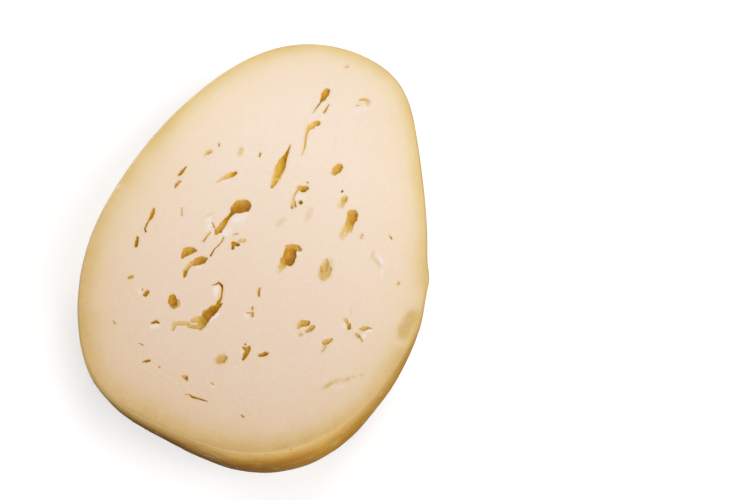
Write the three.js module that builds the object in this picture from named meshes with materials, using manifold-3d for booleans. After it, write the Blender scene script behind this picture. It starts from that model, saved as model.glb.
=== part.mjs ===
// Half of a caciocavallo, an egg-shaped cheese of stretched curd cut lengthwise. It lies on its round back with
// the cut face up. Millimetres, +Z up, narrow end towards +Y, origin under the middle of the half's box.

import * as THREE from 'three';
import { mergeVertices } from 'three/addons/utils/BufferGeometryUtils.js';
import Module from 'manifold-3d';

// Driving dimensions of the half.
const LENGTH = 202; // of the plain egg outline, before the lumps
const WIDTH = 142;
const DEPTH = 72; // from the cut face to the lowest point of the full round back
const FLAT_CUT = 2; // what the resting spot takes off the round back
const TAPER = 0.15; // share by which the outline narrows towards +Y and widens towards -Y
const EGG_MIDDLE = 4; // the plain outline's middle, ahead of the cut face's centre of area
const FULLNESS = 2.3; // of the back's section: 2 is an ellipse, more is squarer
const BELLY_SHIFT = new THREE.Vector2(8, -14); // from the egg's middle to its deepest point, seen from above
const CUT_EDGE = 0.8; // rounding between the rind and the cut face
const FACE_HEIGHT = DEPTH - FLAT_CUT;

// Fineness of the mesh.
const RIM_STEPS = 90;
const RING_STEPS = 12;
const EYE_SIDES = 14;
const EYE_STEPS = 8;

const PASTE_COLOUR = 0xf1ddc5;
const PASTE_ROUGHNESS = 0.55;

// Lumps and flats that the maker's hands left in the outline: place round the rim and spread in degrees, height.
const LUMPS = [
  { at: 24, spread: 22, height: -3.7 },
  { at: 60, spread: 13, height: 3.7 },
  { at: 120, spread: 15, height: 1.8 },
  { at: 172, spread: 12, height: -0.7 },
  { at: 236, spread: 11, height: 2.2 },
  { at: 264, spread: 13, height: -3.2 },
  { at: 306, spread: 18, height: 3.5 },
  { at: 348, spread: 10, height: 2 },
];

// Soft swells of the back: waves round the rim and down the back, height as a share of the ring's size.
const SWELLS = [
  { round: 3, down: 2, phase: 4.2, share: 0.012 },
  { round: 5, down: 4, phase: 2.1, share: 0.006 },
];

// Eyes are torn gas holes, drawn out along the curd. Each has its middle measured from the face's centre of area,
// its size, the turn of its thicker end from +X in degrees, and a taper from 0, even, to 1, pointed.
const eye = (x, y, length, width, depth, turn, taper = 0) => ({ x, y, length, width, depth, turn, taper });

const NARROW_END_EYES = [
  eye(2.3, 78.2, 10, 4.2, 3.5, 83, 0.4),
  eye(2.5, 61.5, 9, 4, 3, 62, 0.2),
  eye(1.3, 52.5, 14, 2, 1.6, 96, 0.4),
  eye(-4.8, 37.5, 23, 5, 2.8, 89),
  eye(19, 42.5, 9, 4.2, 3, 70),
  eye(7.8, 29, 5.4, 4, 3.5, 4, 0.15),
  eye(26.4, 27.5, 7.5, 3.5, 2.3, 78, 0.2),
  eye(31.9, 22, 7, 6, 3.5, 96, 0.1),
  eye(31, 14.8, 10.5, 2.6, 1.4, 97),
  eye(-24.2, 27, 7, 3.2, 2.3, 49, 0.2),
  eye(-37.1, 35, 3.8, 2.8, 2, 66),
  eye(-44.7, 23, 6.5, 2, 2.2, 255, 0.2),
  eye(-44.5, 15.8, 4.6, 1.9, 1.8, 72),
];

const MIDDLE_EYES = [
  eye(-14, 13, 9, 7, 5.5, 28, 0.1),
  eye(-17.2, 9, 7, 2.8, 3.2, 66, 0.2),
  eye(-19.3, 2.5, 12, 3, 2.8, 258, 0.2),
  eye(-11.2, -5.6, 4.4, 3.5, 2.6, 50),
  eye(12.6, -3.6, 11.5, 6, 4.5, 98, 0.15),
  eye(14.5, 0.6, 5, 2.4, 2.2, 186, 0.2),
  eye(28.6, -6.4, 11.5, 5, 1.8, 282, 0.15),
  eye(-28.2, -14.6, 8.4, 3.6, 2.6, 45),
  eye(-22.6, -16.7, 6.6, 4.2, 2.8, 36),
  eye(-26.4, -22.2, 8, 2.3, 2, 80),
  eye(-49.9, -1.2, 7, 2.5, 2.4, 275, 0.1),
  eye(-51.2, -16, 6.4, 2, 2, 286, 0.1),
];

const BLUNT_END_EYES = [
  eye(-27, -38.5, 9, 4.8, 3.5, 127),
  eye(-39, -38.4, 3.6, 2.9, 1.8, 67),
  eye(-10, -38, 12.5, 5.2, 4.6, 244, 0.3),
  eye(-11.9, -45, 9, 5, 3.8, 92, 0.35),
  eye(27.6, -33, 5.8, 3.6, 2.5, 24),
  eye(30.8, -34.8, 6.2, 2.4, 1.8, 55),
  eye(39.5, -38.2, 5.8, 3.1, 2.2, 43),
  eye(44.8, -28.8, 5.6, 2.1, 1.9, 321, 0.2),
  eye(52.5, -28, 5.6, 2, 1.5, 203, 0.3),
  eye(8.8, -49.8, 4.8, 2.5, 2.5, 21),
  eye(9.1, -52.2, 8, 3.4, 3.3, 93, 0.4),
  eye(16.3, -51, 5, 2.6, 2.3, 27, 0.25),
  eye(0.9, -58.2, 4.5, 3.6, 1.4, 35),
  eye(-30.6, -50, 3.8, 2, 1.5, 35),
  eye(-28.5, -67.3, 3.8, 1.8, 1.5, 36),
  eye(-10.6, -70, 3.2, 2.3, 1.6, 333),
  eye(-3.2, -77, 9, 1.7, 1.5, 178, 0.2),
];

const FULL_TURN = 2 * Math.PI;
const radians = THREE.MathUtils.degToRad;

// Height of the lumps at an angle round the rim, each a smooth hill that fades out over its spread.
function lumpHeight(angle) {
  let height = 0;
  for (const lump of LUMPS) {
    const away = THREE.MathUtils.euclideanModulo(angle - radians(lump.at) + Math.PI, FULL_TURN) - Math.PI;
    height += lump.height * Math.exp(-0.5 * (away / radians(lump.spread)) ** 2);
  }
  return height;
}

// Point of the outline seen from above, from the middle of the plain egg.
function rimPoint(angle) {
  const sine = Math.sin(angle);
  const cosine = Math.cos(angle);
  const egg = new THREE.Vector2((WIDTH / 2) * cosine * (1 - TAPER * sine), (LENGTH / 2) * sine);
  const outward = new THREE.Vector2(
    (LENGTH / 2) * cosine,
    (WIDTH / 2) * (sine * (1 - TAPER * sine) + TAPER * cosine * cosine),
  ).normalize();
  return egg.addScaledVector(outward, lumpHeight(angle));
}

// Share by which the back swells at an angle round the rim and an angle down the back.
function swell(angle, down) {
  let share = 0;
  for (const wave of SWELLS) {
    share += wave.share * Math.sin(wave.round * angle + wave.phase) * Math.sin(wave.down * down);
  }
  return share;
}

// One level ring of the back. It shrinks and moves to the deepest point as it goes down, like a slice of an egg.
function backRing(down) {
  const shrink = Math.cos(down) ** (2 / FULLNESS);
  const height = FACE_HEIGHT - DEPTH * Math.sin(down) ** (2 / FULLNESS);
  return Array.from({ length: RIM_STEPS }, (_, step) => {
    const angle = (step / RIM_STEPS) * FULL_TURN;
    const flat = rimPoint(angle).multiplyScalar(shrink * (1 + swell(angle, down)));
    flat.addScaledVector(BELLY_SHIFT, 1 - Math.cos(down));
    return new THREE.Vector3(flat.x, flat.y + EGG_MIDDLE, height);
  });
}

// The cut face's own edge, drawn in a little from the rind.
function faceRing() {
  return Array.from({ length: RIM_STEPS }, (_, step) => {
    const flat = rimPoint((step / RIM_STEPS) * FULL_TURN);
    flat.setLength(flat.length() - CUT_EDGE);
    return new THREE.Vector3(flat.x, flat.y + EGG_MIDDLE, FACE_HEIGHT);
  });
}

// All rings from the cut face down to the flat resting spot.
function halfRings() {
  const first = Math.asin((CUT_EDGE / DEPTH) ** (FULLNESS / 2));
  const last = Math.asin((FACE_HEIGHT / DEPTH) ** (FULLNESS / 2));
  const rings = [faceRing()];
  for (let step = 0; step <= RING_STEPS; step++) {
    rings.push(backRing(THREE.MathUtils.lerp(first, last, step / RING_STEPS)));
  }
  return rings;
}

// Closed skin over rings that run from top to bottom, with a fan of triangles across each end.
function skinOver(rings) {
  const points = rings.flat();
  const triangles = [];
  const lowestRow = (rings.length - 1) * RIM_STEPS;
  const top = points.push(meanPoint(rings[0])) - 1;
  const bottom = points.push(meanPoint(rings[rings.length - 1])) - 1;
  for (let step = 0; step < RIM_STEPS; step++) {
    const next = (step + 1) % RIM_STEPS;
    triangles.push(top, step, next);
    triangles.push(bottom, lowestRow + next, lowestRow + step);
    for (let row = 0; row < lowestRow; row += RIM_STEPS) {
      const below = row + RIM_STEPS;
      triangles.push(row + step, below + step, below + next);
      triangles.push(row + step, below + next, row + next);
    }
  }
  return new THREE.BufferGeometry().setFromPoints(points).setIndex(triangles);
}

function meanPoint(points) {
  const sum = points.reduce((total, point) => total.add(point), new THREE.Vector3());
  return sum.divideScalar(points.length);
}

// A tapered seed with its middle on the cut face. Its lower half is the hollow of one eye.
function eyeSeed({ x, y, length, width, depth, turn, taper }) {
  const seed = new THREE.SphereGeometry(1, EYE_SIDES, EYE_STEPS).rotateZ(-Math.PI / 2);
  const points = seed.attributes.position;
  for (let i = 0; i < points.count; i++) {
    const along = points.getX(i);
    const girth = 1 + taper * along;
    points.setXYZ(
      i,
      (along * length) / 2,
      (points.getY(i) * girth * width) / 2,
      points.getZ(i) * girth * depth,
    );
  }
  return seed.rotateZ(radians(turn)).translate(x, y, FACE_HEIGHT);
}

const wasm = await Module();
wasm.setup();

function toSolid(geometry) {
  geometry.deleteAttribute('normal');
  geometry.deleteAttribute('uv');
  const merged = mergeVertices(geometry);
  const vertProperties = new Float32Array(merged.attributes.position.array);
  const triVerts = new Uint32Array(merged.index.array);
  return new wasm.Manifold(new wasm.Mesh({ numProp: 3, vertProperties, triVerts }));
}

function toGeometry(solid) {
  const { vertProperties, triVerts } = solid.getMesh();
  const geometry = new THREE.BufferGeometry();
  geometry.setAttribute('position', new THREE.BufferAttribute(vertProperties, 3));
  geometry.setIndex(new THREE.BufferAttribute(triVerts, 1));
  return geometry;
}

// The half with its eyes opened, moved so that the origin lies under the middle of its box.
function cheeseGeometry() {
  let half = toSolid(skinOver(halfRings()));
  for (const place of [...NARROW_END_EYES, ...MIDDLE_EYES, ...BLUNT_END_EYES]) {
    half = half.subtract(toSolid(eyeSeed(place)));
  }
  const geometry = toGeometry(half);
  geometry.computeBoundingBox();
  const middle = geometry.boundingBox.getCenter(new THREE.Vector3());
  geometry.translate(-middle.x, -middle.y, 0);
  geometry.computeVertexNormals();
  return geometry;
}

const cheeseHalf = new THREE.Mesh(
  cheeseGeometry(),
  new THREE.MeshStandardMaterial({ color: PASTE_COLOUR, roughness: PASTE_ROUGHNESS, metalness: 0 }),
);
cheeseHalf.name = 'cheese_half';

const caciocavallo = new THREE.Group();
caciocavallo.add(cheeseHalf);

export default caciocavallo;
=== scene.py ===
# %% [markdown]
# # Half a caciocavallo
# A caciocavallo is an egg-shaped cheese of stretched curd with a thin waxy rind. This half was cut
# lengthwise, so it has two very different sides: a flat ivory face with torn eyes in it, and a round golden
# back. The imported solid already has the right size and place. This lesson builds a finer half over it, cuts
# the eyes with Booleans, and spends most of its care on three finishes: paste, eye walls and rind.

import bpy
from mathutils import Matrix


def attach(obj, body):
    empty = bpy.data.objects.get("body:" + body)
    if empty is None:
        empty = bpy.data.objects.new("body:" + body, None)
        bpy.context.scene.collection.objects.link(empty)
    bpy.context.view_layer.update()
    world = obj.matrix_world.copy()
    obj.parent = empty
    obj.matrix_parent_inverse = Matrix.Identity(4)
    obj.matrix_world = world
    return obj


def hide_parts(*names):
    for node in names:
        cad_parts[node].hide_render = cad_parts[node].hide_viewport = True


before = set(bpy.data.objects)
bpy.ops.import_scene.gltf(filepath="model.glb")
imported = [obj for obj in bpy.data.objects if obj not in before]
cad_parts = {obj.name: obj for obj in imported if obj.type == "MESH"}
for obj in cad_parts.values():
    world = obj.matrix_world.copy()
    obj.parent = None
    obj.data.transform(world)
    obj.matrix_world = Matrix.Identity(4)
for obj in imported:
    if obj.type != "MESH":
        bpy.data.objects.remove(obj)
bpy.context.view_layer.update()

# %% [markdown]
# ## The outline of the cut face
# A hand-shaped cheese is an egg with a few lumps and flats. The outline could be traced point by point, but
# a formula is easier to change: a tapered ellipse, plus soft hills and hollows placed by their angle round
# the rim. All lengths here are in millimetres, and become metres only when a mesh is made.

# %% Outline formula
import math

import numpy as np

LENGTH = 202.0
WIDTH = 142.0
TAPER = 0.15
EGG_MIDDLE = np.array([0.0, 4.0])  # from the face's centre of area, the zero of all places on the face
LUMPS = (  # angle round the rim and spread in degrees, height in mm
    (24, 22, -3.7),
    (60, 13, 3.7),
    (120, 15, 1.8),
    (172, 12, -0.7),
    (236, 11, 2.2),
    (264, 13, -3.2),
    (306, 18, 3.5),
    (348, 10, 2.0),
)


def hill(angle, place, spread):
    """A soft hill on the rim, 1 high at its place and as wide as its spread, both in degrees."""
    away = (angle - math.radians(place) + math.pi) % math.tau - math.pi
    return np.exp(-0.5 * (away / math.radians(spread)) ** 2)


def rim_points(angle):
    """Points of the outline from the middle of the egg, one for each angle."""
    sine = np.sin(angle)
    cosine = np.cos(angle)
    egg = np.stack([WIDTH / 2 * cosine * (1 - TAPER * sine), LENGTH / 2 * sine], 1)
    outward = np.stack(
        [LENGTH / 2 * cosine, WIDTH / 2 * (sine * (1 - TAPER * sine) + TAPER * cosine**2)], 1
    )
    outward /= np.linalg.norm(outward, axis=1, keepdims=True)
    height = sum(top * hill(angle, place, spread) for place, spread, top in LUMPS)
    return egg + outward * height[:, None]


RIM_STEPS = 360
rim_angles = np.arange(RIM_STEPS) * math.tau / RIM_STEPS
rim = rim_points(rim_angles)
box_middle = (rim.min(0) + rim.max(0)) / 2 + EGG_MIDDLE
print("outline in mm", np.round(np.ptp(rim, axis=0), 1))

# %% [markdown]
# ## The round back
# Behind the face the half is a full, round egg. Level rings do this well: each ring is the outline, made
# smaller and moved towards the deepest point on the way down. The lowest ring closes the small flat spot
# that the half rests on. A few extra rings at the top round off the cut edge, because no knife leaves a
# perfect corner. At one place all rings near the face bulge out a little, into a burr that the blade left
# there.

# %% Rings of the back
DEPTH = 72.0
FLAT_CUT = 2.0
FACE_HEIGHT = DEPTH - FLAT_CUT
FULLNESS = 2.3
BELLY_SHIFT = np.array([8.0, -14.0])
SWELLS = ((3, 2, 4.2, 0.012), (5, 4, 2.1, 0.006))  # waves round and down, phase, share of the size
BURR_ANGLE = 358.8  # a burr on the cut edge: angle and spread in degrees, the rest in mm
BURR_SPREAD = 2.3
BURR_OUT = 1.4
BURR_DROP = 6.0
CUT_EDGE = 1.6
EDGE_STEPS = 6
BACK_STEPS = 56
FLAT_STEPS = 10
FLAT_CORE = 0.04  # size of the last ring on the flat spot, as a share of the spot


def edge_ring(turn):
    """A ring of the rounded cut edge: turn runs from 0 at the face to a right angle at the rind."""
    inset = CUT_EDGE * (1 - math.sin(turn))
    size = 1 - inset / np.linalg.norm(rim, axis=1, keepdims=True)
    drop = CUT_EDGE * (1 - math.cos(turn))
    return np.column_stack([rim * size + EGG_MIDDLE, np.full(RIM_STEPS, FACE_HEIGHT - drop)])


def back_ring(down):
    shrink = math.cos(down) ** (2 / FULLNESS)
    height = FACE_HEIGHT - DEPTH * math.sin(down) ** (2 / FULLNESS)
    swell = np.ones(RIM_STEPS)
    for waves_round, waves_down, phase, share in SWELLS:
        swell += share * np.sin(waves_round * rim_angles + phase) * math.sin(waves_down * down)
    flat = rim * shrink * swell[:, None] + EGG_MIDDLE + BELLY_SHIFT * (1 - math.cos(down))
    return np.column_stack([flat, np.full(RIM_STEPS, height)])


def flat_spot_ring(lowest_ring, share):
    middle = lowest_ring.mean(0)
    return middle + (lowest_ring - middle) * share


def with_burr(ring):
    below_face = FACE_HEIGHT - ring[0, 2]
    push = BURR_OUT * hill(rim_angles, BURR_ANGLE, BURR_SPREAD) * math.exp(-below_face / BURR_DROP)
    outward = rim / np.linalg.norm(rim, axis=1, keepdims=True)
    return ring + np.column_stack([outward * push[:, None], np.zeros(RIM_STEPS)])


first_down = math.asin((CUT_EDGE / DEPTH) ** (FULLNESS / 2))
last_down = math.asin((FACE_HEIGHT / DEPTH) ** (FULLNESS / 2))
rings = [edge_ring(turn) for turn in np.linspace(0, math.pi / 2, EDGE_STEPS, endpoint=False)]
rings += [back_ring(down) for down in np.linspace(first_down, last_down, BACK_STEPS)]
flat_spot = rings[-1]
rings += [flat_spot_ring(flat_spot, share) for share in np.linspace(1, FLAT_CORE, FLAT_STEPS)[1:]]
rings = [with_burr(ring) for ring in rings]
print(len(rings), "rings, flat spot in mm", np.round(np.ptp(flat_spot[:, :2], axis=0), 1))

# %% [markdown]
# ## Unevenness of the rind
# A ripening cheese shrinks a little and is pressed by hands, cloths and shelves, so its back is softly
# dimpled. A modifier with a texture would do it, but here each ring point is simply moved outward by a few
# layers of noise. The move fades out at the cut edge and at the flat spot, so that the outline and the
# resting height stay true.

# %% Dimple the back
from mathutils import Vector, noise

DIMPLES = ((34.0, 0.55), (12.0, 0.28), (4.5, 0.10))  # size of the dimples and their height in mm
FADE = 5.0


def noise_at(points, size, seed=0.0):
    """Smooth noise from -1 to 1 at each point, with features about as wide as size."""
    shift = Vector((seed, -1.7 * seed, 0.6 * seed))
    return np.array([noise.noise(Vector(point) / size + shift) for point in points])


def dimple(ring):
    height = ring[0, 2]
    fade = min(1.0, (FACE_HEIGHT - height) / FADE) * min(1.0, height / FADE)
    if fade <= 0:
        return ring
    lift = sum(tall * noise_at(ring, size, seed=size) for size, tall in DIMPLES)
    outward = ring - [*ring[:, :2].mean(0), FACE_HEIGHT]
    outward /= np.linalg.norm(outward, axis=1, keepdims=True)
    return ring + outward * (fade * lift)[:, None]


rings = [dimple(ring) for ring in rings]
print("dimpled", len(rings), "rings")

# %% [markdown]
# ## The cut face
# The face needs small, even triangles, both for the eyes that are cut into it and for the marks that it
# will carry. Rings would crowd at the middle, so an even grid of points is joined to the rim by a Delaunay
# triangulation.

# %% Triangulate the face
from mathutils.geometry import delaunay_2d_cdt

FACE_STEP = 0.95
ROW_STEP = FACE_STEP * math.sqrt(3) / 2
RIM_GAP = 0.7 * FACE_STEP
JOIN_WITHIN = 1e-6


def inside_outline(points, edge, margin):
    """Which points lie inside the closed edge and at least margin away from its corners."""
    crossings = np.zeros(len(points), int)
    nearest = np.full(len(points), np.inf)
    for start, end in zip(edge, np.roll(edge, -1, axis=0)):
        straddles = (start[1] > points[:, 1]) != (end[1] > points[:, 1])
        slope = (end[0] - start[0]) / (end[1] - start[1] or 1.0)
        crossings += straddles & (points[:, 0] < start[0] + slope * (points[:, 1] - start[1]))
        nearest = np.minimum(nearest, np.hypot(*(points - start).T))
    return (crossings % 2 == 1) & (nearest > margin)


def even_grid(low, high):
    rows = []
    for number, y in enumerate(np.arange(low[1], high[1], ROW_STEP)):
        xs = np.arange(low[0] + (number % 2) * FACE_STEP / 2, high[0], FACE_STEP)
        rows.append(np.column_stack([xs, np.full(len(xs), y)]))
    return np.concatenate(rows)


face_edge = rings[0][:, :2]
grid = even_grid(face_edge.min(0), face_edge.max(0))
grid = grid[inside_outline(grid, face_edge, RIM_GAP)]
edge_loop = [(step, (step + 1) % RIM_STEPS) for step in range(RIM_STEPS)]
flat_points = [Vector(point) for point in np.concatenate([face_edge, grid])]
joined_points, _, face_triangles, *_ = delaunay_2d_cdt(flat_points, edge_loop, [], 1, JOIN_WITHIN)
face_points = np.array([point[:] for point in joined_points])
print(len(face_points), "points and", len(face_triangles), "triangles on the face")

# %% [markdown]
# ## Torn curd, scrapes and painted shade
# Where the blade dragged, the curd is torn up white beside some eyes, and it left tan scrapes in a few
# places. The same tan is painted shade in a small dent, in a groove and along a torn ridge near the blunt
# end. Two stretches of the rim were rubbed pale, and the rind is scuffed under the blunt end. Each mark is a
# soft
# oval with a place and a size in mm, a turn from +X in degrees and a strength. One function finds the
# strongest mark at any points: here for the relief, later for the colours.

# %% Marks of the blade, and painted shade
from collections import namedtuple

Mark = namedtuple("Mark", "x y length width turn strength")
MARK_FALL = 0.7  # at the edge of its oval a mark has faded by e to this power

torn_curd = [
    Mark(19.9, 75.3, 5.7, 2.7, 22, 1.0),
    Mark(7.4, 24.5, 4.0, 2.9, 51, 0.6),
    Mark(-13.6, 7.1, 6.6, 4.3, 57, 1.0),
    Mark(-25.4, 1.3, 8.4, 2.1, 105, 0.9),
    Mark(-16.7, -0.7, 5.3, 3.3, 62, 0.8),
    Mark(-22.5, -1.9, 4.7, 1.6, 87, 0.7),
    Mark(15.5, -1.7, 2.8, 1.8, 81, 0.8),
    Mark(49.3, 4.7, 6.1, 2.0, -47, 1.0),
    Mark(51.8, -1.0, 4.8, 1.3, -72, 0.8),
    Mark(-68.4, 7.8, 1.3, 1.0, 63, 1.0),
    Mark(-22.0, -20.0, 3.3, 1.4, 34, 0.8),
    Mark(-11.9, -28.4, 4.7, 2.2, 100, 0.9),
    Mark(-8.3, -40.4, 4.6, 1.6, 66, 1.0),
    Mark(-42.0, -38.0, 2.8, 1.8, 110, 0.6),
    Mark(-30.3, -51.6, 3.3, 1.4, 16, 1.0),
    Mark(44.0, -29.3, 2.1, 1.6, -17, 0.9),
    Mark(54.2, -29.0, 3.2, 1.2, 28, 1.0),
    Mark(52.8, -32.0, 2.8, 1.4, 60, 0.9),
    Mark(3.6, -36.1, 3.1, 1.7, -26, 0.6),
    Mark(7.2, -52.0, 2.7, 1.0, 109, 0.7),
    Mark(49.8, -56.6, 4.0, 1.3, 27, 0.35),
    Mark(55.4, -49.9, 2.5, 1.3, 49, 0.35),
    Mark(1.4, -70.7, 2.1, 0.8, -25, 0.8),
]
# tan scrapes, and painted shade in tan: a dent, a groove and the shadow along a torn ridge
tan_scrapes_and_shade = [
    Mark(68.9, -19.2, 9.4, 5.4, 78, 0.9),
    Mark(68.1, -23.8, 10.0, 5.2, 88, 0.9),
    Mark(14.2, 17.3, 7.6, 2.6, 88, 0.36),
    Mark(3.8, 10.4, 6.0, 2.5, 67, 0.36),
    Mark(-26.4, 5.3, 3.4, 1.5, 40, 0.5),
    Mark(44.5, -22.1, 4.2, 0.8, 102, 0.5),
    Mark(45.6, -57.0, 6.6, 1.6, 52, 0.95),
    Mark(48.4, -54.2, 3.2, 1.9, 40, 0.75),
    Mark(51.0, -53.2, 2.4, 1.6, 20, 0.5),
    Mark(52.6, -52.0, 2.8, 1.9, 60, 0.75),
    Mark(54.8, -50.4, 2.6, 1.6, 50, 0.5),
    Mark(57.0, -48.9, 3.0, 1.2, 45, 0.5),
    Mark(0.6, -58.2, 5.2, 4.2, 45, 0.9),
    Mark(29.0, -6.4, 10.0, 5.0, 88, 0.5),
    Mark(45.7, 6.0, 4.6, 1.4, -85, 0.5),
    Mark(48.5, 3.3, 5.6, 1.3, -42, 0.6),
]
rubbed_rim = [Mark(69.3, -9.4, 12.2, 6.6, 101, 1.0), Mark(68.6, -30.2, 4.0, 6.0, 101, 1.0)]
scuffed_rind = [Mark(8.0, -97.0, 30.0, 9.0, -6, 1.0)]


def marked(marks, flat, crispness=1.5):
    """Strength of the strongest mark at each flat point, fading out at the edge of its oval."""
    strongest = np.zeros(len(flat))
    for mark in marks:
        turn = math.radians(mark.turn)
        away = flat - [mark.x, mark.y]
        along = away @ [math.cos(turn), math.sin(turn)]
        across = away @ [-math.sin(turn), math.cos(turn)]
        oval = (2 * along / mark.length) ** 2 + (2 * across / mark.width) ** 2
        strongest = np.maximum(strongest, mark.strength * np.exp(-MARK_FALL * oval**crispness))
    return strongest


print(len(torn_curd), "places of torn curd,", len(tan_scrapes_and_shade), "scrapes")

# %% [markdown]
# ## Relief of the face
# A long blade bends and sticks in warm paste. That leaves low waves across the face, here about a tenth of
# a millimetre high, which show only as a soft unevenness in the light. Torn curd stands up a little higher
# and is lumpy. The rim itself stays level, because the rounded edge hangs from it.

# %% Raise the face
KNIFE_WAVES = ((26.0, 0.16), (7.0, 0.05))  # width of the waves and their height in mm
WAVE_STRETCH = (0.45, 1.0)
CURD_HEIGHT = 0.22
CURD_LUMP = 1.6
CURD_MEAN = 0.6


def face_relief(flat):
    level = np.column_stack([flat, np.zeros(len(flat))])
    drawn_out = level * [*WAVE_STRETCH, 1.0]
    waves = sum(tall * noise_at(drawn_out, size, seed=3 + size) for size, tall in KNIFE_WAVES)
    lumps = CURD_MEAN + noise_at(level, CURD_LUMP, seed=8.0)
    return waves + CURD_HEIGHT * lumps * marked(torn_curd, flat)


relief = face_relief(face_points)
relief[:RIM_STEPS] = 0.0
face_top = np.column_stack([face_points, FACE_HEIGHT + relief])
print("relief of the face in mm", round(relief.min(), 2), "to", round(relief.max(), 2))

# %% [markdown]
# ## One closed half
# A Boolean needs a closed skin with no doubled points. The face's first points are the rim itself, so the
# rings hang from them, and a fan of triangles closes the middle of the flat spot. Each polygon gets a
# material slot: paste on the face, rind on the back.

# %% Join face and back
import bpy

MM = 0.001
PASTE = 0
RIND = 1
EYE_WALL = 2


def half_skin():
    """Points, polygons and material slots of the closed half, before any eye is cut."""
    points = [face_top, *rings[1:], rings[-1].mean(0, keepdims=True)]
    polygons = [tuple(triangle) for triangle in face_triangles]
    slots = [PASTE] * len(polygons)
    starts = [0] + [len(face_top) + RIM_STEPS * number for number in range(len(rings) - 1)]
    last_point = starts[-1] + RIM_STEPS
    for number, (upper, lower) in enumerate(zip(starts, starts[1:])):
        for step in range(RIM_STEPS):
            ahead = (step + 1) % RIM_STEPS
            polygons.append((upper + step, lower + step, lower + ahead, upper + ahead))
            slots.append(RIND if number >= EDGE_STEPS // 2 else PASTE)
    for step in range(RIM_STEPS):
        polygons.append((starts[-1] + step, last_point, starts[-1] + (step + 1) % RIM_STEPS))
        slots.append(RIND)
    return np.concatenate(points), polygons, slots


def new_object(name, points, polygons, slots):
    """A mesh object from points in mm on the face's own axes, set down in the part's frame."""
    mesh = bpy.data.meshes.new(name)
    place = (np.asarray(points) - [*box_middle, 0.0]) * MM
    mesh.from_pydata(place.tolist(), [], polygons)
    mesh.polygons.foreach_set("material_index", slots)
    made = bpy.data.objects.new(name, mesh)
    bpy.context.scene.collection.objects.link(made)
    return made


half = new_object("cheese_half_finish", *half_skin())
print("closed half:", len(half.data.vertices), "points,", len(half.data.polygons), "polygons")

# %% [markdown]
# ## Eyes
# Eyes are gas holes that were drawn out while the curd was stretched, so most run along the egg, with a
# round head and a thin tail, and some are torn into hooks and forks. One ball per eye would be too tame.
# Here each eye is a chain of stations from head to tail, and a station is a place on the face, a width and
# a depth, all in mm.

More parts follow.
